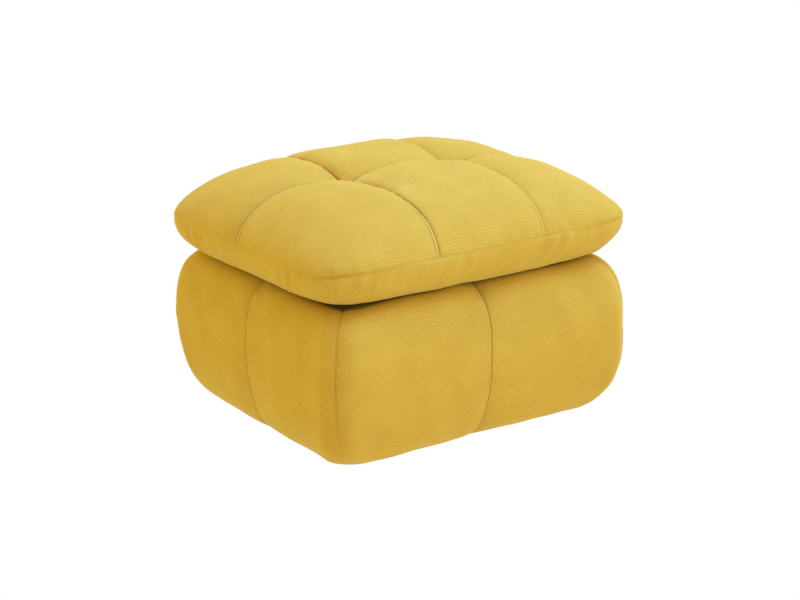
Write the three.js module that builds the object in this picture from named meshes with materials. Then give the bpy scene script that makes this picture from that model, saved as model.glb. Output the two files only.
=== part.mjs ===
// A ribbed chenille ottoman: a padded base with a sewn channel down the middle of each side, and on it a
// thick seat cushion whose top is quilted into six panels by three seams that cross at two tufts.
// Millimetres, +Z up, X along the long side, Y to the back. The origin is the middle of the flat underside.
import * as THREE from "three";

// Padded base: a box with full, rounded edges, drawn in along its four channels
const BASE_HALF_WIDTH = 322;
const BASE_HALF_DEPTH = 277;
const BASE_HEIGHT = 286;
const BASE_CORNER_RADIUS = 46;
const FOOT_INSET = 76; // how far the lower edge rounds under
const FOOT_RISE = 157; // height over which it does
const FOOT_FULLNESS = 2.3; // superellipse exponent: 2 rounds it as an ellipse, more makes it fuller
const SHOULDER_INSET = 62; // the same for the upper edge, under the cushion
const SHOULDER_DROP = BASE_HEIGHT - FOOT_RISE;
const SHOULDER_FULLNESS = 2.55;
const CHANNEL_DEPTH = 2; // of a side's channel, half way up, where it hardly draws the padding in
const CHANNEL_FOOT_FLARE = 12; // added depth at the underside
const FOOT_FLARE_POWER = 1.2; // lower spreads that depth further up
const CHANNEL_DECK_FLARE = 36; // added depth at the deck
const DECK_FLARE_POWER = 4;
const CHANNEL_REACH = 100; // distance from the channel at which the padding is full again

// Seat cushion: its outer seam joins the crowned top to a boxing strip, which rounds under to a flat bottom
const SEAT_GAP = 0.3; // clearance between the cushion and the base it lies on
const CUSHION_HALF_WIDTH = 335;
const CUSHION_HALF_DEPTH = 279;
const BOXING_HEIGHT = 64.5;
const BOXING_INSET = 59;
const BOXING_FULLNESS = 2;
const LONG_SIDE_LIFT = 6; // the outer seam lies this much higher along the front and the back
const LIFT_SHARES = [-0.14, 0.02]; // it rises where |v| - |u| passes from the first to the second
const CROWN_HEIGHT = 111.5; // of the smooth crown over the outer seam
const CROWN_SHAPE = 3.24; // higher is a flatter crown with steeper sides
const CROWN_STEEPNESS = 0.6; // lower is steeper at the outer seam
const CORNER_ROUNDING = 0.085; // the plan's corners are rounded in by this share of the half sizes

// Quilting of the cushion's top: two seams across and one along, at these shares of its half sizes
const CROSS_SEAM_SHARE = 1 / 3;
const CROSS_VALLEY_DEPTH = 27; // of the seams across, under the full panels beside them
const CROSS_VALLEY_ROUNDNESS = 4.4; // 2 is a round lobe, more makes it steeper at the seam and flatter on top
const MIDDLE_PANEL_REACH = 0.22; // share of the half width at which the middle panels are full
const OUTER_PANEL_REACH = 0.5; // and the outer ones
const LONG_VALLEY_DEPTH = 19.5; // of the seam along
const LONG_VALLEY_ROUNDNESS = 2.55;
const LONG_VALLEY_REACH = 0.6; // share of the half depth at which the panels are full
const VALLEY_AT_EDGE = 0.1; // share of a valley's depth that is left at the outer seam
const VALLEY_FADE = 0.7; // share of the half size over which it fades
const TUFT_DEPTH = 20; // pull at the two crossings
const TUFT_RADIUS = 44;
const TUFT_POWER = 1.2; // 1 is a cone with a point, 2 is a round pit

// Fineness of the meshes
const BASE_SIDE_STEPS = 18;
const BASE_CORNER_STEPS = 6;
const BASE_EDGE_STEPS = 13;
const PANEL_STEPS_ALONG = 14;
const PANEL_STEPS_DEEP = 18;
const BOXING_STEPS = 7;
const CHANNEL_CROWDING = 1.5; // 1 spaces a side's steps evenly, more draws them towards its channel
const NORMAL_PROBE = 0.002; // in u and v

const QUARTER_TURN = Math.PI / 2;
const CUSHION_BOTTOM_Z = BASE_HEIGHT + SEAT_GAP;
const CUSHION_SEAM_Z = CUSHION_BOTTOM_Z + BOXING_HEIGHT;
const CORNER_SHARPNESS = (1 - CORNER_ROUNDING) / (2 * CORNER_ROUNDING); // meets both sides at 45 degrees

// Steps from 0 to 1, both included
function shares(steps) {
  return Array.from({ length: steps + 1 }, (_, i) => i / steps);
}

// Values from one number to another, close together at both ends
function crowdedAtEnds(from, to, steps) {
  return shares(steps).map((t) => from + ((to - from) * (1 - Math.cos(t * Math.PI))) / 2);
}

// Values from -1 to 1, close together in the middle, where a side's channel is
function crowdedInMiddle(steps) {
  return shares(steps).map((t) => Math.sign(t - 0.5) * Math.abs(2 * t - 1) ** CHANNEL_CROWDING);
}

// Height of padding at a distance from a seam: 0 on the seam, rising steeply, and 1 from the reach on
function fullness(distance, reach, roundness = 2) {
  const t = Math.min(distance / reach, 1);
  return Math.sqrt(1 - (1 - t) ** roundness);
}

// Sections of a rounded edge, from its flat face to its upright one, along a quarter of a superellipse:
// how far in and how far up each lies, as shares, and how flat the surface is there
function roundedEdge(steps, exponent) {
  return shares(steps).map((t) => {
    const flatness = Math.cos(t * QUARTER_TURN);
    const inset = 1 - Math.sin(t * QUARTER_TURN) ** (2 / exponent);
    return { inset, rise: 1 - flatness ** (2 / exponent), flatness };
  });
}

// A point turned about the vertical axis through the origin
function turned(x, y, z, angle) {
  const [cos, sin] = [Math.cos(angle), Math.sin(angle)];
  return new THREE.Vector3(x * cos - y * sin, x * sin + y * cos, z);
}

// A closed surface whose faces share their points
class Skin {
  points = [];
  faces = [];

  add(...points) {
    return points.map((point) => this.points.push(point) - 1);
  }

  quad(a, b, c, d) {
    this.faces.push(a, b, c, a, c, d);
  }

  // Joins two rings of as many points. Both run anticlockwise seen from above.
  join(lower, upper) {
    lower.forEach((_, i) => {
      const next = (i + 1) % lower.length;
      this.quad(lower[i], lower[next], upper[next], upper[i]);
    });
  }

  // Closes a level ring with a flat fan of faces about its middle
  close(ring, facingUp) {
    const [middle] = this.add(new THREE.Vector3(0, 0, this.points[ring[0]].z));
    ring.forEach((point, i) => {
      const next = ring[(i + 1) % ring.length];
      this.faces.push(middle, ...(facingUp ? [point, next] : [next, point]));
    });
  }

  mesh(name, color) {
    const geometry = new THREE.BufferGeometry().setFromPoints(this.points);
    geometry.setIndex(this.faces);
    geometry.computeVertexNormals();
    const chenille = new THREE.MeshStandardMaterial({ color, roughness: 0.95, metalness: 0 });
    const mesh = new THREE.Mesh(geometry, chenille);
    mesh.name = name;
    return mesh;
  }
}

// One level section of the base, drawn in by a depth at its four channels
function baseSection(inset, z, channel) {
  const halfWidth = BASE_HALF_WIDTH - inset;
  const halfDepth = BASE_HALF_DEPTH - inset;
  const radius = BASE_CORNER_RADIUS;
  const ring = [];
  for (let side = 0; side < 4; side++) {
    const [along, out] = side % 2 === 0 ? [halfWidth, halfDepth] : [halfDepth, halfWidth];
    for (const s of crowdedInMiddle(BASE_SIDE_STEPS)) {
      const x = s * (along - radius);
      const drawnIn = channel * (1 - fullness(Math.abs(x), CHANNEL_REACH));
      ring.push(turned(x, drawnIn - out, z, side * QUARTER_TURN));
    }
    for (const t of shares(BASE_CORNER_STEPS).slice(1, -1)) {
      const x = along - radius * (1 - Math.sin(t * QUARTER_TURN));
      const y = radius * (1 - Math.cos(t * QUARTER_TURN)) - out;
      ring.push(turned(x, y, z, side * QUARTER_TURN));
    }
  }
  return ring;
}

function makeBase() {
  const foot = roundedEdge(BASE_EDGE_STEPS, FOOT_FULLNESS).map(({ inset, rise, flatness }) => {
    const channel = CHANNEL_DEPTH + CHANNEL_FOOT_FLARE * flatness ** FOOT_FLARE_POWER;
    return baseSection(FOOT_INSET * inset, FOOT_RISE * rise, channel);
  });
  const shoulder = roundedEdge(BASE_EDGE_STEPS, SHOULDER_FULLNESS).map(({ inset, rise, flatness }) => {
    const channel = CHANNEL_DEPTH + CHANNEL_DECK_FLARE * flatness ** DECK_FLARE_POWER;
    return baseSection(SHOULDER_INSET * inset, BASE_HEIGHT - SHOULDER_DROP * rise, channel);
  });
  const skin = new Skin();
  const rings = [...foot, ...shoulder.reverse().slice(1)].map((ring) => skin.add(...ring));
  rings.slice(1).forEach((ring, i) => skin.join(rings[i], ring));
  skin.close(rings[0], false);
  skin.close(rings[rings.length - 1], true);
  return skin.mesh("base", 0xd2aa48);
}

// A point of the cushion's smooth crown. u runs from -1 to 1 along it, v from -1 to 1 to the back.
function crownPoint(u, v) {
  const [fromMiddleU, fromMiddleV] = [Math.abs(u), Math.abs(v)];
  const rounding = 1 - CORNER_ROUNDING * (fromMiddleU * fromMiddleV) ** CORNER_SHARPNESS;
  const onLongSide = THREE.MathUtils.smoothstep(fromMiddleV - fromMiddleU, ...LIFT_SHARES);
  const lift = LONG_SIDE_LIFT * onLongSide * Math.max(fromMiddleU, fromMiddleV) ** 4;
  const crown = ((1 - fromMiddleU ** CROWN_SHAPE) * (1 - fromMiddleV ** CROWN_SHAPE)) ** CROWN_STEEPNESS;
  return new THREE.Vector3(
    CUSHION_HALF_WIDTH * u * rounding,
    CUSHION_HALF_DEPTH * v * rounding,
    CUSHION_SEAM_Z + lift + CROWN_HEIGHT * crown,
  );
}

function crownNormal(u, v) {
  const [left, right] = [Math.max(u - NORMAL_PROBE, -1), Math.min(u + NORMAL_PROBE, 1)];
  const [front, back] = [Math.max(v - NORMAL_PROBE, -1), Math.min(v + NORMAL_PROBE, 1)];
  const along = crownPoint(right, v).sub(crownPoint(left, v));
  const deep = crownPoint(u, back).sub(crownPoint(u, front));
  return along.cross(deep).normalize();
}

// How far the quilting pulls the cushion's top in from its smooth crown
function quiltingDepth(u, v) {
  const fromSeam = Math.abs(Math.abs(u) - CROSS_SEAM_SHARE);
  const reach = Math.abs(u) < CROSS_SEAM_SHARE ? MIDDLE_PANEL_REACH : OUTER_PANEL_REACH;
  const fullAlong = fullness(fromSeam, reach, CROSS_VALLEY_ROUNDNESS);
  const fullDeep = fullness(Math.abs(v), LONG_VALLEY_REACH, LONG_VALLEY_ROUNDNESS);
  const fromEdge = Math.min(1 - Math.abs(u), 1 - Math.abs(v));
  const share = VALLEY_AT_EDGE + (1 - VALLEY_AT_EDGE) * THREE.MathUtils.smoothstep(fromEdge, 0, VALLEY_FADE);
  const valleys = CROSS_VALLEY_DEPTH * (1 - fullAlong) + LONG_VALLEY_DEPTH * (1 - fullDeep) * fullAlong;
  const fromTuft = Math.hypot(fromSeam * CUSHION_HALF_WIDTH, v * CUSHION_HALF_DEPTH);
  return valleys * share + TUFT_DEPTH * Math.exp(-((fromTuft / TUFT_RADIUS) ** TUFT_POWER));
}

function makeSeatCushion() {
  const seamsAlong = [-1, -CROSS_SEAM_SHARE, CROSS_SEAM_SHARE, 1];
  const seamsDeep = [-1, 0, 1];
  const gridLines = (seams, steps) => [
    -1,
    ...seams.slice(1).flatMap((seam, i) => crowdedAtEnds(seams[i], seam, steps).slice(1)),
  ];
  const us = gridLines(seamsAlong, PANEL_STEPS_ALONG);
  const vs = gridLines(seamsDeep, PANEL_STEPS_DEEP);
  const skin = new Skin();
  const rows = vs.map((v) =>
    skin.add(...us.map((u) => crownPoint(u, v).addScaledVector(crownNormal(u, v), -quiltingDepth(u, v)))),
  );
  for (let j = 1; j < vs.length; j++) {
    for (let i = 1; i < us.length; i++) {
      skin.quad(rows[j - 1][i - 1], rows[j - 1][i], rows[j][i], rows[j][i - 1]);
    }
  }

  const columns = (i) => rows.map((row) => row[i]);
  const outerSeam = [
    ...rows[0].slice(0, -1),
    ...columns(us.length - 1).slice(0, -1),
    ...rows[vs.length - 1].slice(1).reverse(),
    ...columns(0).slice(1).reverse(),
  ];
  const boxing = roundedEdge(BOXING_STEPS, BOXING_FULLNESS).slice(0, -1).map(({ inset, rise }) => {
    const narrowing = 1 - (BOXING_INSET * inset) / CUSHION_HALF_WIDTH;
    const shortening = 1 - (BOXING_INSET * inset) / CUSHION_HALF_DEPTH;
    const seamPoints = outerSeam.map((index) => skin.points[index]);
    return skin.add(
      ...seamPoints.map(({ x, y, z }) => {
        const height = (z - CUSHION_BOTTOM_Z) * rise;
        return new THREE.Vector3(x * narrowing, y * shortening, CUSHION_BOTTOM_Z + height);
      }),
    );
  });
  const rings = [...boxing, outerSeam];
  boxing.forEach((ring, i) => skin.join(ring, rings[i + 1]));
  skin.close(boxing[0], false);
  return skin.mesh("seat_cushion", 0xd9b352);
}

const ottoman = new THREE.Group();
ottoman.add(makeBase(), makeSeatCushion());

export default ottoman;
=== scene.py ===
"""A ribbed chenille ottoman in mustard yellow: a padded base and a quilted seat cushion, dressed around the
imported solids. Surfaces are worked out in millimetres, in the frame of the solids, and become metres when a
mesh is made from them."""

import math

import bpy
import numpy as np
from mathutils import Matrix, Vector


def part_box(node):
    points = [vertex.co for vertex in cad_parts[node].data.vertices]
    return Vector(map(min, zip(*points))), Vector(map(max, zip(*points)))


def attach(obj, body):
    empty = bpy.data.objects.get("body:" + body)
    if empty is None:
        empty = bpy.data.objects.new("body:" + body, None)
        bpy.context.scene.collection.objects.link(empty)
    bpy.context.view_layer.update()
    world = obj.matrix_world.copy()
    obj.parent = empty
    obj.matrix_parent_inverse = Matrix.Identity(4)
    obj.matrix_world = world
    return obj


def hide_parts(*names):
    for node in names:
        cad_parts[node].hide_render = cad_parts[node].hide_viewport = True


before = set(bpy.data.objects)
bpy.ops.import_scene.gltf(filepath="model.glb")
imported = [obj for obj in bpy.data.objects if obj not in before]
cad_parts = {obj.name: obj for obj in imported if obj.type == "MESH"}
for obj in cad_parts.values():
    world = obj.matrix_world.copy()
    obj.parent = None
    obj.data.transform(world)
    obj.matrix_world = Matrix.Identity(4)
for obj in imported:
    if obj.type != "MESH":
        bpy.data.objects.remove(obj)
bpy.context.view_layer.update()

MM = 0.001
QUARTER_TURN = math.pi / 2

# The photograph's view
CAMERA_AZIMUTH = -35.02  # degrees; 0 looks along +Y
CAMERA_ELEVATION = 17.26  # degrees above the horizon
CAMERA_DISTANCE = 3.301  # metres
CAMERA_LENS = 82.35  # millimetres, on Blender's own 36 mm sensor
CAMERA_TARGET = Vector((0, 0, 0.2103))
AIM_RIGHT = 0.0029  # metres from that target to the middle of the picture, to the right
AIM_DOWN = 0.0164  # and down

# Sizes that the solids share, in millimetres. The half sizes of the base and its height come from its box.
_, base_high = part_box("base")
cushion_low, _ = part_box("seat_cushion")
BASE_HALF_WIDTH = base_high.x / MM
BASE_HALF_DEPTH = base_high.y / MM
BASE_HEIGHT = base_high.z / MM
BASE_CORNER_RADIUS = 46
FOOT_INSET = 76
FOOT_RISE = 157
FOOT_FULLNESS = 2.3
SHOULDER_INSET = 62
SHOULDER_DROP = BASE_HEIGHT - FOOT_RISE
SHOULDER_FULLNESS = 2.55
CHANNEL_DEPTH = 2  # of a side's channel, half way up
CHANNEL_FOOT_FLARE = 12  # added depth at the underside
FOOT_FLARE_POWER = 1.2
CHANNEL_DECK_FLARE = 36  # and at the deck
DECK_FLARE_POWER = 4
CHANNEL_REACH = 100
CHANNEL_SOFTNESS = (4, 4, 12, 12)  # how rounded the channels are at the bottom: front, right, back, left
BASE_MIDDLE_SHARE = 0.54
CORNER_DROP = 8  # of the deck at the front left corner
CORNER_DROP_REACH = 60
FRONT_CORNER_GAIN = 1.7  # brings the share of that corner to 1 a little before the corner itself
SHOULDER_SWELL = 5  # how much fuller the shoulder is at the left corners
SHOULDER_SWELL_REACH = 75
SHOULDER_PEAK = 9.5  # brings flatness**3 * (1 - flatness) to 1 where it is highest
CORNER_VALLEY = (0, 0.4, 4, 2.5)  # depth of the corner seam from the underside to the deck
CORNER_VALLEY_PLACES = (0, 0.25, 0.55, 1)  # shares of the way up for those depths
CORNER_VALLEY_REACHES = (15, 4)  # to the left of the seam and to its right
RIGHT_FOOT_SWELL = 8  # how much fuller the foot is at the front right corner
LEFT_FOOT_SWELL = -7  # and at the back left one

CUSHION_HALF_WIDTH = 335
CUSHION_HALF_DEPTH = 279
CUSHION_BOTTOM_Z = cushion_low.z / MM
BOXING_HEIGHT = 64.5
CUSHION_SEAM_Z = CUSHION_BOTTOM_Z + BOXING_HEIGHT
BOXING_INSET = 59
BOXING_FULLNESS = 2
LONG_SIDE_LIFT = 6  # the outer seam lies this much higher along the front and the back
LIFT_SHARES = (-0.14, 0.02)
LIFT_POWER = 4  # how closely the lifts and drops keep to the outer seam
FRONT_TIP_DROP = 5  # of the front left corner's seam, where the cloth is gathered
FRONT_TIP_POWER = 2.5
TIP_DRAW = 2.2  # how far the outer seam is drawn in at the corners
TIP_DRAW_WIDTH = 13
RIGHT_TIP_TUCK = 8  # how far the boxing is drawn in under the front right corner
RIGHT_TUCK_STARTS = (25, 68)  # distances below the seam where this sets in and is full
RIGHT_TUCK_ENDS = (70, 92)  # and where it lessens
RIGHT_TUCK_LOSS = 0.6  # the share that is lost there
RIGHT_TUCK_POWER = 1.5  # how closely the tuck keeps to that corner
FRONT_TIP_TUCK = 2  # how far the boxing is drawn in under the front left corner
FRONT_TUCK_STARTS = (40, 70)
RIGHT_TIP_LIFT = 6  # of the front right corner over the others
LEFT_TIP_DROP = 6  # of the back left corner
LEFT_TIP_REACH = 6  # how far it stands out further than the others
CROWN_HEIGHT = 111.5
CROWN_SHAPE = 3.24
CROWN_STEEPNESS = 0.6
CORNER_ROUNDING = 0.085
CORNER_SHARPNESS = (1 - CORNER_ROUNDING) / (2 * CORNER_ROUNDING)
OUTLINE_POWER = 7.8  # of the superellipse that comes closest to the cushion's outline
CROSS_SEAM_SHARE = 1 / 3
CROSS_VALLEY_DEPTH = 27
CROSS_VALLEY_ROUNDNESS = 4.4
MIDDLE_PANEL_REACH = 0.22  # of a cross valley, towards the middle panels
OUTER_PANEL_REACH = 0.5  # and towards the outer ones
LONG_VALLEY_DEPTH = 19.5
LONG_VALLEY_ROUNDNESS = 2.55
LONG_VALLEY_REACH = 0.6
VALLEY_AT_EDGE = 0.1
VALLEY_FADE = 0.7
BACK_FLATNESS = 0.3  # share of the valleys' depth that is missing at the back
BACK_FLATNESS_PLACES = (0.2, 0.7)  # shares of the way to the back where this sets in and is full
TUFT_DEPTH = 20
TUFT_RADIUS = 44
TUFT_POWER = 1.2
NORMAL_PROBE = 0.002
NORMAL_TURN = 5  # distance from the outer seam at which the relief no longer leans outwards
TIP_POWER = 6  # how closely what belongs to the corners keeps to them
CORNER_POWER = 1.5  # how closely what belongs to one corner keeps to it

# The cloth's ribs, in millimetres
RIB_PITCH = 5.9
RIB_HEIGHT = 0.55
BOXING_RIBS = 0.25  # how far the boxing strip's ribs show
BASE_RIBS = (0.75, 0.75, 0.4, 0.4)  # and the base's: front, right, back, left
ROWS_A_RIB = 4

# Seams, in millimetres
CREASE_DEPTH = 3
CREASE_WIDTH = 2
WELT_WIDTH = 5.5
WELT_HEIGHT = 1.3
WELT_LEANS = (11, 15)  # how far the cross seams' welts lie over to the left, half way from edge to middle
LEAN_SHARES = (0.1, 0.55)
STITCH_GROOVE_DEPTH = 1.4
STITCH_GROOVE_WIDTH = 1.5
STITCH_PITCH = 4.2
STITCH_SIZE = (3.0, 0.9, 0.8)  # length, width and height
STITCH_SHADE = 0.08
CHANNEL_SEAM_SHARES = (0.12, 0.12, 0.04, 0.04)  # of those depths that show: front, right, back, left
CORNER_SEAM_SHARE = 0.42
FOOT_SEAM_SHARE = 0.2  # of the corner seams' depth at the foot
FOOT_SEAM_FADE = (0.1, 0.4)  # shares of the way up where it gives way to their full depth
OUTER_SEAM_SHARE = 0.35
RIGHT_TIP_SMOOTHNESS = 0.6  # share of the outer seam's depth that is missing at the front right corner
CROSS_SEAM_STRENGTHS = (1, 0.6)  # of the left cross seam and the right one
JOIN_DEPTH = 0.9  # of the boxing strip's upright joins, at its corners
JOIN_WIDTH = 1.6
JOIN_STARTS = (2, 10)  # distances below the outer seam where they set in and are full
GATHER_SHIFT = (10, 0)  # from the corner to the middle of the gathered stretch, in x and y
GATHER_REACH = 34
GATHER_PITCH = 8
GATHER_HEIGHT = 0.45
GATHERED_SEAM_SHARE = 1.2  # of the seam's depth, on top of the rest
GATHER_FADE = 16  # the gathers run out over about this distance
TOP_GATHER_SLANT = 0.15

# Soft forms of the cloth, in millimetres
CALM_EDGE = 12  # distance from a flat face at which the relief is full
RIB_FADE = 3  # the ribs fade out over about this distance from a seam
TOP_EDGE_FADES = (14, 6)  # distances from the outer seam where the seams and the folds of the top are full

# Waves: wavelength, seed and height
BASE_WAVES = ((110, 3, 0.9), (45, 4, 0.12))
TOP_WAVES = ((105, 7, 0.6), (42, 8, 0.2))
BOXING_WAVES = ((70, 43, 0.6),)
BOXING_WAVE_START = 15  # distance below the outer seam where they are full

# Folds beside a seam: height, pitch, slant, and the distances over which they run out and set in
CHANNEL_FOLDS = (0.6, 30, 0.25, 22, 5)
CORNER_FOLDS = (0.2, 36, -0.2, 20, 5)
EDGE_FOLDS = (0.8, 27, 0.2, 20, 5)
QUILTING_FOLDS = (0.55, 24, 0.3, 22, 6)
BOXING_FOLDS = (1.2, 30, 0.3, 30, 6)
BOXING_FOLD_VARIETY = (0.7, 0.5, 190)  # their mean share, how much it varies, and over what distance
BOXING_GATHERS = (GATHER_HEIGHT, GATHER_PITCH, 0.2, GATHER_FADE, 4)

# The cloth's look
BACK_BANK_SHADE = 0.22  # painted shade behind the long seam, towards its left end
BACK_BANK_WIDTH = 14
BACK_BANK_START = (0.5, 0.8)  # shares of the way from the middle to the left side
MIDDLE_BANK_PAINTED_LIGHT = 0.4  # and painted light on the middle panel beside the left cross seam, near the tuft
MIDDLE_BANK = (8, 46)  # distances from that seam where this fades
MIDDLE_BANK_START = (0, 0.08)  # shares of the way from the long seam to the front
MIDDLE_BANK_END = (0.55, 0.8)
SHADED_GAP = (3, 8)  # heights of the gap under the cushion between which the painted shade there fades out; at the front left corner the first of them is 0
# front left corner the first of them is 0
SHADED_GAP_SHARES = (0.33, 0.65)  # of those heights along the long sides and along the short ones
SHADED_TURN = (-0.1, 0.1)  # where the one share becomes the other
SHADED_CORNER_LOSS = 0.7  # share of those shares that is lost towards the corners
SHADED_CORNERS = (0.2, 0.6)
SHADED_SIDES = 0.75  # how dark the painted shade in the gap is away from that corner
BANK_SHADE = 0.28  # painted shade on one bank of a channel at its deep ends
BANK_WIDTH = 10
BANK_POWER = 1.5  # how closely it keeps to those ends
SEAM_SHADE = 0.16  # painted shade in a crease
WELT_PAINTED_HIGHLIGHT = 0.75  # and the strength of the painted highlight on a welt
STITCH_LINE_SHADE = 0.42  # and painted shade where the stitches pull it in
CLOTH_ROUGHNESS = 0.9
CLOTH_SPECULAR = 0.15
# colours of the painted highlight and of the painted shade, mixed in by the attribute "shade"
PAINTED_HIGHLIGHT_COLOUR = (0.8, 0.6, 0.16)
SHADED_COLOUR = (0.05, 0.045, 0.004)
SHEEN_WEIGHT = 0.25
SHEEN_ROUGHNESS = 0.3
SHEEN_TINT = (1.0, 0.95, 0.55, 1)
UNDERSIDE_SHADE = (0.3, 2.5)  # heights above the cushion's underside over which the painted shade there fades out
BASE_COLOURS = ((0.63, 0.385, 0.055), (0.55, 0.32, 0.04))  # of the ribs' tops, and a darker one for random mottling and for painted shade between the ribs
# the same two for the cushion
CUSHION_COLOURS = ((0.64, 0.4, 0.06), (0.56, 0.335, 0.045))
TUFT_SCALE = 420
TUFT_STRETCH = (1, 0.55, 1)
CLOUD_SCALE = 16
MOTTLE_DETAIL = 2
PILE_SCALE = 900
PILE_DETAIL = 3
PILE_HEIGHT = 0.0006  # metres
PILE_STRENGTH = 0.5
TUFT_MOTTLE = 3.6
CLOUD_MOTTLE = 1.4
# painted shade between the ribs, where they show
GROOVE_PAINTED_SHADE = 0.55

# The light from the room's sides, left and right, front and back, below and above, and how much darker the
# room is towards the shade's middle
WALLS = {
    "X": ((1.3, 1.33, 0.55), (1.45, 1.58, 1.25)),
    "Y": ((1.48, 1.64, 1.3), (1.3, 1.35, 0.6)),
    "Z": ((0.82, 0.72, 0.9), (0.94, 0.8, 0.7)),
}
SHADE = (0.94, 1.2, 0.88)
SHADE_DIRECTION = (-0.696, -0.696, 0.174)
SHADE_POWER = 4
LAMP_COLOUR = (0.18, 0.41, 1.0)
LAMP_POWER = 80
LAMP_SIZE = 1.5  # metres, as are the distance and the height
LAMP_AZIMUTH = 30
LAMP_ELEVATION = 70
LAMP_DISTANCE = 2.5
LAMP_TARGET = Vector((0, 0, 0.25))
FLOOR_SIZE = 12  # metres from its middle to its edges
FLOOR_CLEARANCE = 0.5  # millimetres under the base

# Fineness of the meshes
PROFILE_STEPS = 1500
TOP_LINE_STEPS = 4000
BASE_PANEL_COLUMNS = 46
TOP_PANEL_COLUMNS = 50
BOXING_ROWS = 15
CROWDING = 1.8  # of columns towards the seams
ZIP_CLEARANCE = 0.4  # millimetres between the boxing's uppermost row and the top's edge


def fullness(distance, reach, roundness=2.0):
    """Height of padding at a distance from a seam: 0 on the seam, rising steeply, and 1 from the reach on"""
    return np.sqrt(1 - (1 - np.minimum(distance / reach, 1)) ** roundness)


def smoothstep(value, low, high):
    """0 up to low, 1 from high on, and a smooth rise between them"""
    t = np.clip((value - low) / (high - low), 0, 1)
    return t * t * (3 - 2 * t)


def rounded_edge(angle, exponent):
    """A rounded edge from its flat face, at angle 0, to its upright one: how far in and up, and how flat"""
    flatness = np.cos(angle)
    inset = 1 - np.sin(angle) ** (2 / exponent)
    rise = 1 - np.clip(flatness, 0, 1) ** (2 / exponent)
    return inset, rise, flatness


def crowded_at_ends(count):
    """Shares from 0 to 1, close together at both ends"""
    t = np.linspace(-1, 1, count + 1)
    return 0.5 + 0.5 * np.tanh(CROWDING * t) / math.tanh(CROWDING)


def arc_lengths(points, axis=0):
    """Lengths along lines of points, from the first of each"""
    steps = np.linalg.norm(np.diff(points, axis=axis), axis=-1)
    start = np.zeros_like(np.take(steps, [0], axis=axis))
    return np.concatenate([start, np.cumsum(steps, axis=axis)], axis=axis)


def evenly_spaced(parameter, lengths, count):
    """Values of a parameter that divide a line into stretches of one length"""
    return np.interp(np.linspace(0, lengths[-1], count + 1), lengths, parameter)


class Waves:
    """A soft random surface: many sine waves of about one wavelength, in millimetres, in fixed directions"""

    def __init__(self, wavelength, seed, count=28):
        random = np.random.default_rng(seed)
        directions = random.normal(size=(count, 3))
        directions /= np.linalg.norm(directions, axis=1, keepdims=True)
        lengths = wavelength * random.uniform(0.7, 1.6, size=(count, 1))
        self.waves = directions * 2 * math.pi / lengths
        self.starts = random.uniform(0, 2 * math.pi, count)
        self.scale = math.sqrt(2 / count)

    def __call__(self, points):
        total = np.zeros(points.shape[:-1])
        for wave, start in zip(self.waves, self.starts):
            total += np.sin(points @ wave + start)
        return total * self.scale


def line_noise(lengths, wavelength, seed, count=14):
    """Soft random values along a line, about 1 high"""
    random = np.random.default_rng(seed)
    total = np.zeros_like(lengths)
    for _ in range(count):
        period = wavelength * random.uniform(0.65, 1.7)
        total += np.sin(2 * math.pi * lengths / period + random.uniform(0, 2 * math.pi))
    return total * math.sqrt(2 / count)


def soft_waves(points, waves):
    """Heights of several soft random surfaces together"""
    return sum(height * Waves(wavelength, seed)(points) for wavelength, seed, height in waves)


def fold_heights(along, away, kind, seed):
    """Short soft folds that run out from a seam, at distances along it and away from it"""
    height, pitch, slant, reach, start = kind
    noise = line_noise(along + slant * away, pitch, seed)
    return height * noise * np.exp(-away / reach) * (1 - np.exp(-away / start))


def ribs_beside(distance):
    """How far the ribs show at a distance from a seam, from 0 to 1"""
    return 1 - np.exp(-distance / RIB_FADE)


def rib_profile(across):
    """Depth of the cloth's ribs under their tops, at a distance across them"""
    return RIB_HEIGHT * (1 - np.abs(np.cos(math.pi * across / RIB_PITCH)))


def crease(distance, depth, width):
    """Depth of a sharp fold at a distance from its bottom"""
    return depth * np.exp(-np.abs(distance) / width)


def groove(distance, depth, width):
    """Depth of a rounded furrow at a distance from its bottom"""
    return depth * np.exp(-((distance / width) ** 2))


def seam_relief(side_distance, lean=0):
    """Depth of a topstitched seam. The distance is measured from the crease, and is negative on the welt's
    side."""
    return (
        crease(side_distance, CREASE_DEPTH, CREASE_WIDTH)
        + groove(side_distance + WELT_WIDTH + lean, STITCH_GROOVE_DEPTH, STITCH_GROOVE_WIDTH)
        - groove(side_distance + WELT_WIDTH / 2 + lean, WELT_HEIGHT, WELT_WIDTH / 3)
    )


def seam_shade(side_distance, lean=0):
    """Painted shade at a topstitched seam, in its crease and its stitch line; below 0 for the painted
    highlight on its welt
    """
    return (
        crease(side_distance, SEAM_SHADE, CREASE_WIDTH)
        + groove(side_distance + WELT_WIDTH + lean, STITCH_LINE_SHADE, STITCH_GROOVE_WIDTH)
        - groove(side_distance + WELT_WIDTH / 2 + lean, WELT_PAINTED_HIGHLIGHT, WELT_WIDTH / 3)
    )


def line_on_grid(values, distances, at):
    """Values of a grid on the line where the distance, which grows along each row, reaches a number"""
    at = np.broadcast_to(at, len(distances))
    picked = [
        [np.interp(here, row, row_values[:, axis]) for axis in range(3)]
        for here, row, row_values in zip(at, distances, values)
    ]
    return np.array(picked)


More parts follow.
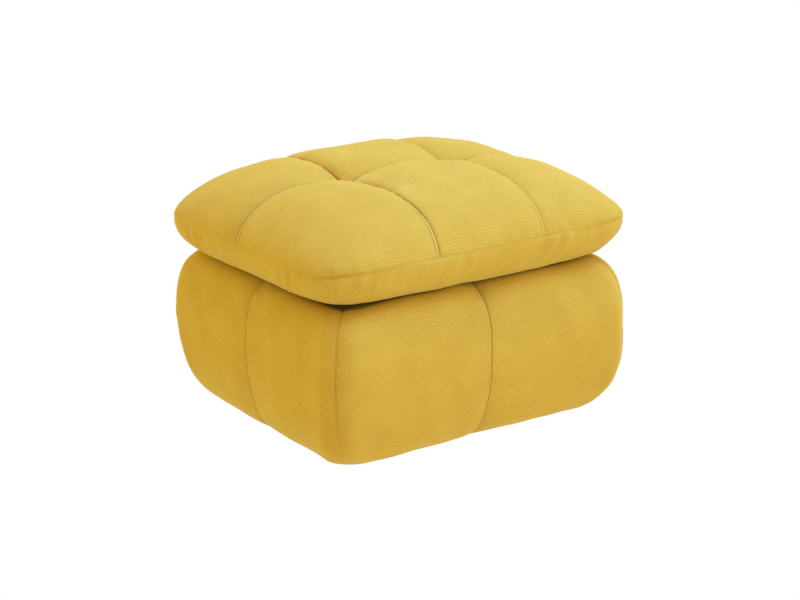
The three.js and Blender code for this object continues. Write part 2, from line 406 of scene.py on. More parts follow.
class Skin:
    """A closed surface of grids whose neighbouring faces share their points"""

    def __init__(self):
        self.points = []
        self.cloth = []
        self.ribs = []
        self.shades = []
        self.faces = []
        self.count = 0

    def add(self, points, cloth, ribs=0.0, shade=0.0):
        """Adds points with their places on the flat cloth, both in millimetres, with how far the ribs show,
        from 0 to 1, and with how much darker the cloth is painted there, mostly as painted shade, and below 0
        how much paler, as painted highlight. Returns their numbers."""
        shape = points.shape[:-1]
        self.points.append(points.reshape(-1, 3))
        self.cloth.append(np.broadcast_to(cloth, (*shape, 2)).reshape(-1, 2))
        self.ribs.append(np.broadcast_to(ribs, shape).ravel())
        self.shades.append(np.broadcast_to(shade, shape).ravel())
        numbers = np.arange(self.count, self.count + self.points[-1].shape[0]).reshape(shape)
        self.count += numbers.size
        return numbers

    def grid(self, numbers):
        """Joins rows of points. Faces look towards the side from which columns x rows runs anticlockwise."""
        corners = (numbers[:-1, :-1], numbers[:-1, 1:], numbers[1:, 1:], numbers[1:, :-1])
        self.faces += np.stack(corners, axis=-1).reshape(-1, 4).tolist()

    def zip_rings(self, lower, upper, lower_shares, upper_shares):
        """Joins two closed rings with different numbers of points, which run anticlockwise seen from above"""
        i = j = 0
        lower_ends = np.append(lower_shares[1:], 1.0)
        upper_ends = np.append(upper_shares[1:], 1.0)
        while i < len(lower) or j < len(upper):
            lower_next = lower[(i + 1) % len(lower)]
            upper_next = upper[(j + 1) % len(upper)]
            here, above = lower[i % len(lower)], upper[j % len(upper)]
            if j == len(upper) or (i < len(lower) and lower_ends[i] <= upper_ends[j]):
                self.faces.append([here, lower_next, above])
                i += 1
            else:
                self.faces.append([here, upper_next, above])
                j += 1

    def close(self, ring, middle, facing_up):
        """Closes a ring with a fan of faces about a point"""
        for here, after in zip(ring, np.roll(ring, -1)):
            self.faces.append([middle, here, after] if facing_up else [middle, after, here])

    def stitch(self, line, normals):
        """Sews stitches along a line: small pointed threads that lie half in the cloth"""
        lengths = arc_lengths(line)
        middles = np.arange(STITCH_PITCH, lengths[-1] - STITCH_PITCH, STITCH_PITCH)

        def at(values, places):
            return np.stack([np.interp(places, lengths, values[:, axis]) for axis in range(3)], axis=-1)

        along = at(line, middles + 1) - at(line, middles - 1)
        along /= np.linalg.norm(along, axis=1, keepdims=True)
        side = np.cross(along, at(normals, middles))
        side /= np.linalg.norm(side, axis=1, keepdims=True)
        up = np.cross(side, along)
        length, width, height = STITCH_SIZE
        half = np.stack([along * length, side * width, up * height], axis=1) / 2
        points = at(line, middles)[:, None, :] + np.concatenate([half, -half], axis=1)
        numbers = self.add(points, np.zeros(2), shade=STITCH_SHADE)
        for a, b, c, d, e, f in numbers.tolist():
            self.faces += [[a, b, c], [b, d, c], [d, e, c], [e, a, c]]
            self.faces += [[b, a, f], [d, b, f], [e, d, f], [a, e, f]]

    def mesh_object(self, name, material):
        points = np.concatenate(self.points)
        cloth = np.concatenate(self.cloth)
        mesh = bpy.data.meshes.new(name)
        mesh.from_pydata((points * MM).tolist(), [], self.faces)
        mesh.polygons.foreach_set("use_smooth", [True] * len(mesh.polygons))
        corner_points = np.zeros(len(mesh.loops), int)
        mesh.loops.foreach_get("vertex_index", corner_points)
        layer = mesh.uv_layers.new(name="cloth")
        layer.data.foreach_set("uv", (cloth[corner_points] * MM).ravel())
        for name_of_values, values in (("ribs", self.ribs), ("shade", self.shades)):
            attribute = mesh.attributes.new(name_of_values, "FLOAT", "POINT")
            attribute.data.foreach_set("value", np.concatenate(values))
        mesh.materials.append(material)
        mesh.validate()
        made = bpy.data.objects.new(name, mesh)
        bpy.context.collection.objects.link(made)
        return made


def ring_normals(points):
    """Unit normals of a grid whose rows are closed rings"""
    along = np.roll(points, -1, axis=1) - np.roll(points, 1, axis=1)
    across = np.gradient(points, axis=0)
    normals = np.cross(along, across)
    return normals / np.maximum(np.linalg.norm(normals, axis=-1, keepdims=True), 1e-9)


def sheet_normals(points):
    """Unit normals of an open grid"""
    normals = np.cross(np.gradient(points, axis=1), np.gradient(points, axis=0))
    return normals / np.maximum(np.linalg.norm(normals, axis=-1, keepdims=True), 1e-9)


# Base cover


def base_profile(count):
    """Sections from the underside to the deck at one distance along the cloth: inset, z, flatness, distance,
    and whether they belong to the upper part"""
    angles = np.linspace(0, QUARTER_TURN, PROFILE_STEPS)
    foot_in, foot_up, foot_flat = rounded_edge(angles, FOOT_FULLNESS)
    top_in, top_down, top_flat = rounded_edge(angles[::-1], SHOULDER_FULLNESS)
    inset = np.concatenate([FOOT_INSET * foot_in, SHOULDER_INSET * top_in[1:]])
    z = np.concatenate([FOOT_RISE * foot_up, BASE_HEIGHT - SHOULDER_DROP * top_down[1:]])
    flatness = np.concatenate([foot_flat, top_flat[1:]])
    lengths = arc_lengths(np.stack([inset, z], axis=-1))
    samples = np.linspace(0, lengths[-1], count + 1)
    sections = [np.interp(samples, lengths, values) for values in (inset, z, flatness)]
    return [*sections, samples, samples > samples[-1] * BASE_MIDDLE_SHARE]


def channel_depth(flatness, upper):
    """Depth of a side's channel, which deepens towards the deck and the underside"""
    deck_flare = CHANNEL_DECK_FLARE * flatness**DECK_FLARE_POWER
    foot_flare = CHANNEL_FOOT_FLARE * flatness**FOOT_FLARE_POWER
    return CHANNEL_DEPTH + np.where(upper, deck_flare, foot_flare)


def base_side(side, profile, share):
    """One side of the base without its relief: its points, their places on the flat cloth, and their
    distances from the channel and from the nearer corner. The shares run from -1 at one corner over 0 at the
    channel to 1 at the other."""
    inset, z, flatness, climb, upper = profile
    radius = BASE_CORNER_RADIUS
    halves = [BASE_HALF_WIDTH, BASE_HALF_DEPTH]
    along, out = halves if side % 2 == 0 else halves[::-1]
    along, out = along - inset, out - inset
    straight = along - radius
    length = straight + radius * QUARTER_TURN / 2
    travel = np.abs(share) * length
    turn = np.maximum(travel - straight, 0) / radius
    x = np.sign(share) * (np.minimum(travel, straight) + radius * np.sin(turn))
    from_seam = np.hypot(np.minimum(travel, straight), CHANNEL_SOFTNESS[side])
    drawn_in = channel_depth(flatness, upper) * (1 - fullness(from_seam, CHANNEL_REACH))
    y = drawn_in - out + radius * (1 - np.cos(turn))
    cos, sin = math.cos(side * QUARTER_TURN), math.sin(side * QUARTER_TURN)
    points = np.stack([x * cos - y * sin, x * sin + y * cos, np.broadcast_to(z, x.shape)], axis=-1)
    start = side * 2 * (BASE_HALF_WIDTH + BASE_HALF_DEPTH)
    from_channel = np.sign(share) * travel
    cloth = np.stack([start + from_channel, np.broadcast_to(climb, x.shape)], axis=-1)
    return points, cloth, from_channel, np.sign(share) * (travel - length)


def make_base_cover(material):
    ribs = round(base_profile(1)[3][-1] / RIB_PITCH)
    profile = [row[:, None] for row in base_profile(ribs * ROWS_A_RIB)]
    _, z, flatness, climb, upper = profile
    half_panel = crowded_at_ends(BASE_PANEL_COLUMNS)
    share = np.concatenate([-half_panel[:0:-1], half_panel[:-1]])[None, :]
    sides = [base_side(side, profile, share) for side in range(4)]
    points, cloth, from_channel, from_corner = [np.concatenate(grids, axis=1) for grids in zip(*sides)]
    seam_shares = np.repeat(CHANNEL_SEAM_SHARES, share.size)
    rib_shares = np.repeat(BASE_RIBS, share.size)

    u, v = points[..., 0] / BASE_HALF_WIDTH, points[..., 1] / BASE_HALF_DEPTH
    front_corner = np.minimum(corner_share(-u, -v) * FRONT_CORNER_GAIN, 1)
    front_corner = groove(from_corner, front_corner, CORNER_DROP_REACH)
    ribs_free = rib_shares * ribs_beside(np.minimum(np.abs(from_channel), np.abs(from_corner)))
    # painted shade in the gap under the cushion and at the channels' seams, with painted highlight on their
    # welts
    shade = gap_shade(points, front_corner) + seam_shade(from_channel) * seam_shares
    # painted shade on one bank of each channel, strongest where the channel is deep
    bank_painted_shade = crease(from_channel, BANK_SHADE, BANK_WIDTH) * flatness**BANK_POWER
    shade = shade + np.where((from_channel > 0) == (np.abs(v) > np.abs(u)), bank_painted_shade, 0)
    relief = (
        rib_profile(climb) * ribs_free
        + seam_relief(from_channel) * seam_shares
        + corner_seam_relief(from_corner, climb / climb[-1])
        - corner_swell(u, v, from_corner, flatness, upper)
        + CORNER_DROP * front_corner * np.where(upper, flatness, 0) ** 2
        - soft_waves(points, BASE_WAVES)
        - fold_heights(climb, np.abs(from_channel), CHANNEL_FOLDS, seed=21)
        - fold_heights(climb, np.abs(from_corner), CORNER_FOLDS, seed=22)
    )
    calm = smoothstep(np.minimum(climb, climb[-1] - climb), 0, CALM_EDGE)
    points = points - ring_normals(points) * (calm * relief)[..., None]
    points[..., 2] = np.clip(points[..., 2], 0, BASE_HEIGHT)

    skin = Skin()
    numbers = skin.add(points, cloth, ribs_free, shade)
    skin.grid(np.concatenate([numbers, numbers[:, :1]], axis=1))
    low = skin.add(np.array([[0, 0, 0.0]]), np.zeros(2))[0]
    # the deck's middle, hidden under the cushion, takes full painted shade
    high = skin.add(np.array([[0, 0, BASE_HEIGHT]]), np.zeros(2), shade=1)[0]
    skin.close(numbers[0], low, facing_up=False)
    skin.close(numbers[-1], high, facing_up=True)
    inner = (z[:, 0] > STITCH_PITCH) & (z[:, 0] < BASE_HEIGHT - STITCH_PITCH)
    stitch_channels(skin, points[inner], ring_normals(points)[inner], from_channel[inner])
    return skin.mesh_object("base_cover", material)


def corner_seam_relief(from_corner, rise):
    """Depth of the base's upright corner seams, at a share of the way up: a crease in a soft valley"""
    full_share = smoothstep(rise, *FOOT_SEAM_FADE)
    depth = CREASE_DEPTH * CORNER_SEAM_SHARE * (FOOT_SEAM_SHARE + (1 - FOOT_SEAM_SHARE) * full_share)
    valley = np.interp(rise, CORNER_VALLEY_PLACES, CORNER_VALLEY)
    valley_reach = np.where(from_corner < 0, *CORNER_VALLEY_REACHES)
    return crease(from_corner, depth, CREASE_WIDTH) + crease(from_corner, valley, valley_reach)


def corner_swell(u, v, from_corner, flatness, upper):
    """How much fuller the base's foot and shoulder are at some corners than at the others"""
    foot = RIGHT_FOOT_SWELL * corner_share(u, -v) ** 2 + LEFT_FOOT_SWELL * corner_share(-u, v) ** 2
    foot = foot * np.sqrt(np.where(upper, 0, flatness))
    shoulder = np.where(upper, SHOULDER_PEAK * flatness**3 * (1 - flatness), 0)
    return foot + groove(from_corner, SHOULDER_SWELL, SHOULDER_SWELL_REACH) * shoulder * (u < 0)


def stitch_channels(skin, points, normals, from_channel):
    """Sews the stitches beside each side's channel"""
    for columns in np.split(np.arange(points.shape[1]), 4):
        distance = from_channel[:, columns]
        lines = [line_on_grid(values[:, columns], distance, -WELT_WIDTH) for values in (points, normals)]
        skin.stitch(*lines)


def gap_shade(points, front_corner):
    """Painted shade on the base's cloth in the gap under the cushion's rounded edge: 1 where the two touch"""
    x, y = np.abs(points[..., 0]) / CUSHION_HALF_WIDTH, np.abs(points[..., 1]) / CUSHION_HALF_DEPTH
    from_edge = (1 - (x**OUTLINE_POWER + y**OUTLINE_POWER) ** (1 / OUTLINE_POWER)) * CUSHION_HALF_DEPTH
    out = np.clip(1 - from_edge / BOXING_INSET, 0, 1)
    underside = CUSHION_BOTTOM_Z + BOXING_HEIGHT * (1 - np.sqrt(1 - out**2))
    long_side, short_side = SHADED_GAP_SHARES
    share = long_side + (short_side - long_side) * smoothstep(x - y, *SHADED_TURN)
    share = share * (1 - SHADED_CORNER_LOSS * smoothstep(x * y, *SHADED_CORNERS))
    share = share + (1 - share) * front_corner
    darkness = SHADED_SIDES + (1 - SHADED_SIDES) * front_corner
    fade_start, fade_end = SHADED_GAP
    gap = (underside - points[..., 2]) / share
    return darkness * (1 - smoothstep(gap, fade_start * (1 - front_corner), fade_end))


# Cushion cover


def crown_point(u, v):
    """A point of the cushion's smooth crown. u runs from -1 to 1 along it, v from -1 to 1 to the back."""
    side_u, side_v = np.abs(u), np.abs(v)
    rounding = 1 - CORNER_ROUNDING * (side_u * side_v) ** CORNER_SHARPNESS
    x = CUSHION_HALF_WIDTH * u * rounding
    y = CUSHION_HALF_DEPTH * v * rounding
    near_edge = np.maximum(side_u, side_v) ** LIFT_POWER
    lift = LONG_SIDE_LIFT * smoothstep(side_v - side_u, *LIFT_SHARES) * near_edge
    crown = ((1 - side_u**CROWN_SHAPE) * (1 - side_v**CROWN_SHAPE)) ** CROWN_STEEPNESS
    lift = lift + near_edge * (RIGHT_TIP_LIFT * corner_share(u, -v) - LEFT_TIP_DROP * corner_share(-u, v))
    lift = lift - near_edge * FRONT_TIP_DROP * corner_share(-u, -v) ** FRONT_TIP_POWER
    x = x - near_edge * LEFT_TIP_REACH * corner_share(-u, v)
    return np.stack([x, y, CUSHION_SEAM_Z + lift + CROWN_HEIGHT * crown], axis=-1)


def corner_share(toward, aside):
    """1 at one corner, seen from above, and 0 in the half planes away from it"""
    return np.maximum(toward, 0) ** CORNER_POWER * np.maximum(aside, 0) ** CORNER_POWER


def crown_normal(u, v):
    """The direction in which the smooth crown faces"""
    left, right = np.maximum(u - NORMAL_PROBE, -1), np.minimum(u + NORMAL_PROBE, 1)
    front, back = np.maximum(v - NORMAL_PROBE, -1), np.minimum(v + NORMAL_PROBE, 1)
    along = crown_point(right, v) - crown_point(left, v)
    deep = crown_point(u, back) - crown_point(u, front)
    normal = np.cross(along, deep)
    return normal / np.linalg.norm(normal, axis=-1, keepdims=True)


def quilting_depth(u, v):
    """How far the quilting pulls the cushion's top in from its smooth crown"""
    from_seam = np.abs(np.abs(u) - CROSS_SEAM_SHARE)
    reach = np.where(np.abs(u) < CROSS_SEAM_SHARE, MIDDLE_PANEL_REACH, OUTER_PANEL_REACH)
    full_along = fullness(from_seam, reach, CROSS_VALLEY_ROUNDNESS)
    full_deep = fullness(np.abs(v), LONG_VALLEY_REACH, LONG_VALLEY_ROUNDNESS)
    from_edge = np.minimum(1 - np.abs(u), 1 - np.abs(v))
    share = VALLEY_AT_EDGE + (1 - VALLEY_AT_EDGE) * smoothstep(from_edge, 0, VALLEY_FADE)
    share = share * (1 - BACK_FLATNESS * smoothstep(v, *BACK_FLATNESS_PLACES))
    valleys = CROSS_VALLEY_DEPTH * (1 - full_along) + LONG_VALLEY_DEPTH * (1 - full_deep) * full_along
    from_tuft = np.hypot(from_seam * CUSHION_HALF_WIDTH, v * CUSHION_HALF_DEPTH)
    return valleys * share + TUFT_DEPTH * np.exp(-((from_tuft / TUFT_RADIUS) ** TUFT_POWER))


def quilted_top(u, v):
    """A point of the cushion's top with its quilting"""
    return crown_point(u, v) - crown_normal(u, v) * quilting_depth(u, v)[..., None]


def top_normals(points, outer):
    """Unit normals of the top, turned outwards and level at the outer seam, where the cover stands upright"""
    normals = sheet_normals(points)
    outwards = points * np.array([1 / CUSHION_HALF_WIDTH, 1 / CUSHION_HALF_DEPTH, 0])
    outwards = np.sign(outwards) * np.abs(outwards) ** TIP_POWER
    outwards /= np.maximum(np.linalg.norm(outwards, axis=-1, keepdims=True), 1e-9)
    share = smoothstep(outer, 0, NORMAL_TURN)[..., None]
    mixed = normals * share + outwards * (1 - share)
    return mixed / np.linalg.norm(mixed, axis=-1, keepdims=True)


def top_grid():
    """u and v of the top's points: columns that crowd towards the seams, and rows that divide each rib"""
    panel_ends = [-1, -CROSS_SEAM_SHARE, CROSS_SEAM_SHARE, 1]
    columns = crowded_at_ends(TOP_PANEL_COLUMNS)
    panels = [start + (end - start) * columns for start, end in zip(panel_ends, panel_ends[1:])]
    us = np.concatenate([panels[0], panels[1][1:], panels[2][1:]])
    line = np.linspace(-1, 0, TOP_LINE_STEPS)
    lengths = arc_lengths(quilted_top(np.zeros_like(line), line))
    half = evenly_spaced(line, lengths, round(lengths[-1] / RIB_PITCH) * ROWS_A_RIB)
    return np.meshgrid(us, np.concatenate([half, -half[-2::-1]]))


def make_cushion_cover(material):
    u, v = top_grid()
    points = quilted_top(u, v)
    along, deep = arc_lengths(points, axis=1), arc_lengths(points, axis=0)
    outer = np.minimum(np.minimum(along, along[:, [-1]] - along), np.minimum(deep, deep[[-1], :] - deep))
    from_cross = [along - along[:, [column]] for column in (TOP_PANEL_COLUMNS, 2 * TOP_PANEL_COLUMNS)]
    from_long = deep - deep[[len(deep) // 2], :]
    across = np.broadcast_to((np.arange(len(v)) / ROWS_A_RIB * RIB_PITCH)[:, None], u.shape)
    cloth = np.stack([along - along[:, [along.shape[1] // 2]], across], axis=-1)

    leaning = smoothstep(1 - np.abs(v), *LEAN_SHARES)
    leans = [lean * leaning for lean in WELT_LEANS]
    seams = [*zip(from_cross, leans, CROSS_SEAM_STRENGTHS), (from_long, 0, 1)]
    seam_distance = np.min([np.abs(distance) for distance, _, _ in seams], axis=0)
    ribs_free = ribs_beside(np.minimum(seam_distance, outer))
    at_edge = smoothstep(outer, 0, TOP_EDGE_FADES[0])
    relief = (
        rib_profile(across) * ribs_free
        + sum(seam_relief(distance, lean) * strength * at_edge for distance, lean, strength in seams)
        + crease(outer, CREASE_DEPTH, CREASE_WIDTH) * outer_seam_share(u, v, gather_share(points))
        + tip_relief(u, v, outer)
        - soft_waves(points, TOP_WAVES) * at_edge
        - top_puckers(u, v, points, outer, from_cross, from_long)
    )
    points = points - top_normals(points, outer) * relief[..., None]
    # painted shade in the top's seams and beside the long seam, with painted highlight on the welts and
    # beside the left cross seam
    shade = sum(seam_shade(distance, lean) * strength for distance, lean, strength in seams)
    shade = (shade + bank_shade(u, v, from_long, from_cross[0])) * at_edge

    skin = Skin()
    numbers = skin.add(points, cloth, ribs_free, shade)
    skin.grid(numbers)
    stitch_top(skin, points, from_cross, leans, from_long)
    rim = [numbers[0, :-1], numbers[:-1, -1], numbers[-1, :0:-1], numbers[:0:-1, 0]]
    add_boxing(skin, np.concatenate(rim))
    return skin.mesh_object("cushion_cover", material)


def stitch_top(skin, points, from_cross, leans, from_long):
    """Sews the stitches beside the two cross seams and the long one"""
    normals = sheet_normals(points)
    for distance, lean in zip(from_cross, leans):
        at = -WELT_WIDTH - lean[:, 0]
        skin.stitch(line_on_grid(points, distance, at), line_on_grid(normals, distance, at))
    turned = points.swapaxes(0, 1), normals.swapaxes(0, 1)
    skin.stitch(*[line_on_grid(values, from_long.T, -WELT_WIDTH) for values in turned])


def bank_shade(u, v, from_long, from_left_cross):
    """Painted shade beside the long seam, and painted light, below 0, beside the left cross seam"""
    dark = crease(from_long, BACK_BANK_SHADE, BACK_BANK_WIDTH)
    dark = dark * smoothstep(-u, *BACK_BANK_START) * (from_long > 0)
    painted_light = (from_left_cross > 0) * (1 - smoothstep(from_left_cross, *MIDDLE_BANK))
    painted_light = painted_light * smoothstep(-v, *MIDDLE_BANK_START) * (1 - smoothstep(-v, *MIDDLE_BANK_END))
    return dark - MIDDLE_BANK_PAINTED_LIGHT * painted_light


def tip_relief(u, v, distance):
    """How far the cover is drawn in at the cushion's corners, at a distance from the outer seam"""
    return groove(distance, TIP_DRAW, TIP_DRAW_WIDTH) * (np.abs(u) * np.abs(v)) ** TIP_POWER


def outer_seam_share(u, v, gathered):
    """How deep the outer seam is: deepest where the cloth is gathered, shallow at the front right corner"""
    smooth = np.minimum(RIGHT_TIP_SMOOTHNESS * corner_share(u, -v), RIGHT_TIP_SMOOTHNESS)
    return OUTER_SEAM_SHARE * (1 - smooth) + GATHERED_SEAM_SHARE * gathered


def gather_share(points):
    """How near a point is to the front left corner, where the cloth is gathered: 1 beside it"""
    corner = np.array([-CUSHION_HALF_WIDTH, -CUSHION_HALF_DEPTH]) * (1 - CORNER_ROUNDING)
    corner = corner + np.array(GATHER_SHIFT)
    distance = np.linalg.norm(points[..., :2] - corner, axis=-1)
    return groove(distance, 1, GATHER_REACH)


def top_puckers(u, v, points, outer, from_cross, from_long):
    """Short soft folds that run in from the outer seam, and out from the quilting seams"""
    x, y = points[..., 0], points[..., 1]
    along_edge = np.where(np.abs(u) > np.abs(v), y, x)
    total = fold_heights(along_edge, outer, EDGE_FOLDS, seed=31)
    for number, distance in enumerate(from_cross):
        total += fold_heights(y, np.abs(distance), QUILTING_FOLDS, seed=33 + number)
    total += fold_heights(x, np.abs(from_long), QUILTING_FOLDS, seed=36)
    gathers = line_noise(x - y + TOP_GATHER_SLANT * outer, GATHER_PITCH, seed=37)
    gathers *= np.exp(-outer / GATHER_FADE)
    total += GATHER_HEIGHT * gathers * gather_share(points)
    return total * smoothstep(outer, 0, TOP_EDGE_FADES[1])


def outer_seam_ring():
    """The outer seam as a ring of points that divide each rib, their distances along it, its length, and
    their distances from the nearest of the boxing strip's upright joins"""
    line = np.linspace(-1, 1, PROFILE_STEPS)
    edge = np.ones_like(line)
    ways_round = ((line, -edge), (edge, line), (-line, edge), (-edge, -line))
    sides = [crown_point(u, v) for u, v in ways_round]
    seam_line = np.concatenate([side[:-1] for side in sides] + [sides[-1][-1:]])
    lengths = arc_lengths(seam_line)
    joins = lengths[:: len(line) - 1]
    columns = round(lengths[-1] / RIB_PITCH) * ROWS_A_RIB
    around = np.linspace(0, lengths[-1], columns + 1)[:-1]
    ring = np.stack([np.interp(around, lengths, seam_line[:, axis]) for axis in range(3)], axis=-1)
    from_join = np.min(np.abs(around[:, None] - joins[None, :]), axis=1)
    return ring, around, lengths[-1], from_join


def add_boxing(skin, outer_seam):
    """The strip from the outer seam down to the underside, and the underside"""
    ring, around, length, from_join = outer_seam_ring()
    angles = np.linspace(0, QUARTER_TURN, BOXING_ROWS + 1)[:, None]
    inset, rise, _ = rounded_edge(angles, BOXING_FULLNESS)
    x = ring[:, 0] * (1 - BOXING_INSET * inset / CUSHION_HALF_WIDTH)
    y = ring[:, 1] * (1 - BOXING_INSET * inset / CUSHION_HALF_DEPTH)
    z = CUSHION_BOTTOM_Z + (ring[:, 2] - CUSHION_BOTTOM_Z) * rise
    points = np.stack([x, y, z], axis=-1)
    above_bottom = arc_lengths(points)
    down = arc_lengths(points[::-1])[::-1]
    across = np.broadcast_to((np.arange(len(around)) / ROWS_A_RIB * RIB_PITCH)[None, :], x.shape)
    cloth = np.stack([down, across], axis=-1)

    ribs = rib_profile(across) * BOXING_RIBS * ribs_beside(down)
    joins = groove(from_join, JOIN_DEPTH, JOIN_WIDTH) * smoothstep(down, *JOIN_STARTS)
    relief = ribs + joins + boxing_relief(points, around[None, :], down)
    calm = smoothstep(above_bottom, 0, CALM_EDGE)
    points = points - ring_normals(points) * (calm * relief)[..., None]
    points[..., 2] = np.maximum(points[..., 2], CUSHION_BOTTOM_Z)
    points[-1, :, 2] -= ZIP_CLEARANCE

    # painted shade where the cushion's underside rests on the base
    shade = 1 - smoothstep(points[..., 2] - CUSHION_BOTTOM_Z, *UNDERSIDE_SHADE)
    numbers = skin.add(points, cloth, BOXING_RIBS, shade)
    skin.grid(np.concatenate([numbers, numbers[:, :1]], axis=1))
    seam_points = np.concatenate(skin.points)[outer_seam]
    seam_lengths = arc_lengths(np.concatenate([seam_points, seam_points[:1]]))
    skin.zip_rings(numbers[-1], outer_seam, around / length, seam_lengths[:-1] / seam_lengths[-1])
    # the underside's middle, hidden on the base, takes full painted shade
    middle = skin.add(np.array([[0, 0, CUSHION_BOTTOM_Z]]), np.zeros(2), shade=1)[0]
    skin.close(numbers[0], middle, facing_up=False)


def boxing_relief(points, around, down):
    """How far the boxing strip is drawn in at the outer seam and at its corners, less its folds and waves"""
    u, v = points[..., 0] / CUSHION_HALF_WIDTH, points[..., 1] / CUSHION_HALF_DEPTH
    gathered = gather_share(points)
    mean_share, variation, distance = BOXING_FOLD_VARIETY
    folds = fold_heights(around, down, BOXING_FOLDS, seed=41)
    folds *= mean_share + variation * line_noise(around, distance, seed=42)
    folds += fold_heights(around, down, BOXING_GATHERS, seed=44) * gathered
    waves = soft_waves(points, BOXING_WAVES) * smoothstep(down, 0, BOXING_WAVE_START)
    seam = crease(down, CREASE_DEPTH, CREASE_WIDTH) * outer_seam_share(u, v, gathered)
    tips = tip_relief(u / (1 - CORNER_ROUNDING), v / (1 - CORNER_ROUNDING), down)
    tucked = smoothstep(down, *RIGHT_TUCK_STARTS) * (1 - RIGHT_TUCK_LOSS * smoothstep(down, *RIGHT_TUCK_ENDS))
    right_tuck = RIGHT_TIP_TUCK * corner_share(u, -v) ** RIGHT_TUCK_POWER * tucked
    front_tuck = FRONT_TIP_TUCK * corner_share(-u, -v) * smoothstep(down, *FRONT_TUCK_STARTS)
    return seam + tips + right_tuck + front_tuck - folds - waves


# Materials


def add_node(tree, kind, inputs=None, **settings):
    """Adds a shader node. Its inputs, by name or number, are linked to sockets or set to values."""
    node = tree.nodes.new("ShaderNode" + kind)
    for setting, value in settings.items():
        setattr(node, setting, value)
    for key, value in (inputs or {}).items():
        if isinstance(value, bpy.types.NodeSocket):
            tree.links.new(value, node.inputs[key])
        else:
            node.inputs[key].default_value = value
    return node


def new_material(name, inputs):
    """A material with the principled shader, and that shader"""
    material = bpy.data.materials.new(name)
    material.use_nodes = True
    tree = material.node_tree
    tree.nodes.clear()
    shader = add_node(tree, "BsdfPrincipled", inputs)
    add_node(tree, "OutputMaterial", {"Surface": shader.outputs["BSDF"]})
    return material, shader


def make_chenille(name, colour, tone_and_groove_shade_colour):
    """Ribbed pile. Its ribs follow the second number of the map "cloth"."""
    sheen = {"Sheen Weight": SHEEN_WEIGHT, "Sheen Roughness": SHEEN_ROUGHNESS, "Sheen Tint": SHEEN_TINT}
    finish = {"Roughness": CLOTH_ROUGHNESS, "Specular IOR Level": CLOTH_SPECULAR}
    material, shader = new_material(name, {**finish, **sheen})
    tree = material.node_tree

    def calculate(operation, *values):
        return add_node(tree, "Math", dict(enumerate(values)), operation=operation).outputs["Value"]

    def noise(vector, scale, detail):
        inputs = {"Scale": scale, "Detail": detail, "Vector": vector}
        return add_node(tree, "TexNoise", inputs).outputs["Fac"]

    def about_zero(value, strength, base):
        return calculate("MULTIPLY_ADD", calculate("SUBTRACT", value, 0.5), strength, base)

    def mix(factor, first, second):
        inputs = {"A": first, "B": second, "Factor": factor}
        return add_node(tree, "Mix", inputs, data_type="RGBA").outputs["Result"]

    cloth = add_node(tree, "UVMap", uv_map="cloth").outputs["UV"]
    place = add_node(tree, "TexCoord").outputs["Object"]
    ribs = add_node(tree, "Attribute", attribute_name="ribs").outputs["Fac"]
    shade = add_node(tree, "Attribute", attribute_name="shade").outputs["Fac"]

    across = add_node(tree, "SeparateXYZ", {"Vector": cloth}).outputs["Y"]
    turns = calculate("MULTIPLY", across, 2 * math.pi / (RIB_PITCH * MM))
    between_ribs = calculate("MULTIPLY_ADD", calculate("COSINE", turns), -0.5, 0.5)
    stretched = add_node(tree, "Mapping", {"Vector": cloth, "Scale": TUFT_STRETCH}).outputs["Vector"]
    share = about_zero(noise(stretched, TUFT_SCALE, MOTTLE_DETAIL), TUFT_MOTTLE, 0.5)
    share = about_zero(noise(place, CLOUD_SCALE, MOTTLE_DETAIL), CLOUD_MOTTLE, share)
    # painted shade between the ribs, on top of the random mottling
    shown = calculate("MULTIPLY", calculate("SUBTRACT", between_ribs, 0.5), ribs)
    share = calculate("MULTIPLY_ADD", shown, GROOVE_PAINTED_SHADE, share)

    cloth_colour = mix(share, (*colour, 1), (*tone_and_groove_shade_colour, 1))
    # painted shade, and below it painted highlight, from the attribute "shade"
    cloth_colour = mix(shade, cloth_colour, (*SHADED_COLOUR, 1))
    cloth_colour = mix(calculate("MULTIPLY", shade, -1), cloth_colour, (*PAINTED_HIGHLIGHT_COLOUR, 1))
    tree.links.new(cloth_colour, shader.inputs["Base Color"])

    pile = noise(place, PILE_SCALE, PILE_DETAIL)
    inputs = {"Height": pile, "Strength": PILE_STRENGTH, "Distance": PILE_HEIGHT}
    bump = add_node(tree, "Bump", inputs)
    tree.links.new(bump.outputs["Normal"], shader.inputs["Normal"])
    return material


# The studio


def make_floor():
    """A white floor that glows, so that it stays as white as the photograph's background. The room's light
    passes through it. It lies just clear of the base's underside."""
    mesh = bpy.data.meshes.new("floor")
    signs = ((-1, -1), (1, -1), (1, 1), (-1, 1))
    mesh.from_pydata([(x * FLOOR_SIZE, y * FLOOR_SIZE, 0) for x, y in signs], [], [(0, 1, 2, 3)])
    floor = bpy.data.objects.new("floor", mesh)
    floor.location.z = -FLOOR_CLEARANCE * MM
    glow = {"Emission Color": (1, 1, 1, 1), "Emission Strength": 1.0}
    material, _ = new_material("glowing_floor", {"Base Color": (0, 0, 0, 1), "Specular IOR Level": 0, **glow})
    mesh.materials.append(material)
    bpy.context.collection.objects.link(floor)
    floor.visible_diffuse = False
    floor.visible_glossy = False
    floor.visible_shadow = False


def direction(azimuth, elevation):
    """Towards a viewer at an azimuth, where 0 looks along +Y, and an elevation"""
    turn, tilt = math.radians(azimuth), math.radians(elevation)
    level = math.cos(tilt)
    return Vector((math.sin(turn) * level, -math.cos(turn) * level, math.sin(tilt)))


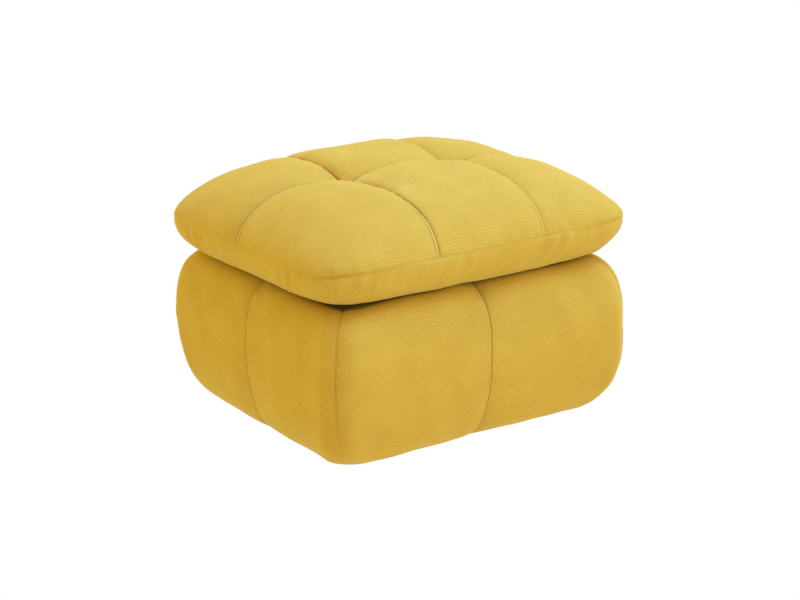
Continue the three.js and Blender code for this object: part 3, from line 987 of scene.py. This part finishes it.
def make_studio():
    """A room whose walls glow in one colour on each of its six sides, blended into each other, and which is
    darker towards one corner"""
    scene = bpy.context.scene
    world = bpy.data.worlds.new("studio")
    world.use_nodes = True
    tree = world.node_tree
    toward = add_node(tree, "TexCoord").outputs["Generated"]
    parts = add_node(tree, "SeparateXYZ", {"Vector": toward})

    def vector_math(operation, inputs):
        return add_node(tree, "VectorMath", inputs, operation=operation)

    light = None
    for axis, (low_side, high_side) in WALLS.items():
        part = parts.outputs[axis]
        side = add_node(tree, "Math", {0: part, 1: 0}, operation="GREATER_THAN").outputs["Value"]
        ends = {"A": (*low_side, 1), "B": (*high_side, 1), "Factor": side}
        wall = add_node(tree, "Mix", ends, data_type="RGBA").outputs["Result"]
        square = add_node(tree, "Math", {0: part, 1: part}, operation="MULTIPLY").outputs["Value"]
        share = vector_math("SCALE", {"Vector": wall, "Scale": square}).outputs["Vector"]
        light = vector_math("ADD", {0: light, 1: share}).outputs["Vector"] if light else share

    facing = vector_math("DOT_PRODUCT", {0: toward, 1: SHADE_DIRECTION}).outputs["Value"]
    in_shade = add_node(tree, "Math", {0: facing, 1: 0}, operation="MAXIMUM").outputs["Value"]
    power = add_node(tree, "Math", {0: in_shade, 1: SHADE_POWER}, operation="POWER").outputs["Value"]
    shade = vector_math("SCALE", {"Vector": SHADE, "Scale": power}).outputs["Vector"]
    left = vector_math("SUBTRACT", {0: light, 1: shade}).outputs["Vector"]
    tree.links.new(left, tree.nodes["Background"].inputs["Color"])
    scene.world = world
    scene.view_settings.view_transform = "Standard"
    make_lamp()
    make_floor()


def make_lamp():
    """A soft square lamp overhead"""
    light = bpy.data.lights.new("overhead", "AREA")
    light.shape = "SQUARE"
    light.size = LAMP_SIZE
    light.energy = LAMP_POWER
    light.color = LAMP_COLOUR
    lamp = bpy.data.objects.new("overhead", light)
    away = direction(LAMP_AZIMUTH, LAMP_ELEVATION)
    lamp.location = LAMP_TARGET + away * LAMP_DISTANCE
    lamp.rotation_euler = (-away).to_track_quat("-Z", "Y").to_euler()
    bpy.context.collection.objects.link(lamp)


def make_camera():
    """The photograph's view"""
    camera = bpy.data.objects.new("camera", bpy.data.cameras.new("camera"))
    camera.data.lens = CAMERA_LENS
    back = direction(CAMERA_AZIMUTH, CAMERA_ELEVATION)
    right = Vector((0, 0, 1)).cross(back).normalized()
    up = back.cross(right)
    camera.location = CAMERA_TARGET + back * CAMERA_DISTANCE
    aim = CAMERA_TARGET + right * AIM_RIGHT - up * AIM_DOWN
    camera.rotation_euler = (aim - camera.location).to_track_quat("-Z", "Y").to_euler()
    bpy.context.collection.objects.link(camera)
    bpy.context.scene.camera = camera


make_camera()
make_studio()
base_chenille = make_chenille("base_chenille", *BASE_COLOURS)
cushion_chenille = make_chenille("cushion_chenille", *CUSHION_COLOURS)

base_cover = make_base_cover(base_chenille)
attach(base_cover, "root")
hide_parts("base")

cushion_cover = make_cushion_cover(cushion_chenille)
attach(cushion_cover, "root")
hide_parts("seat_cushion")
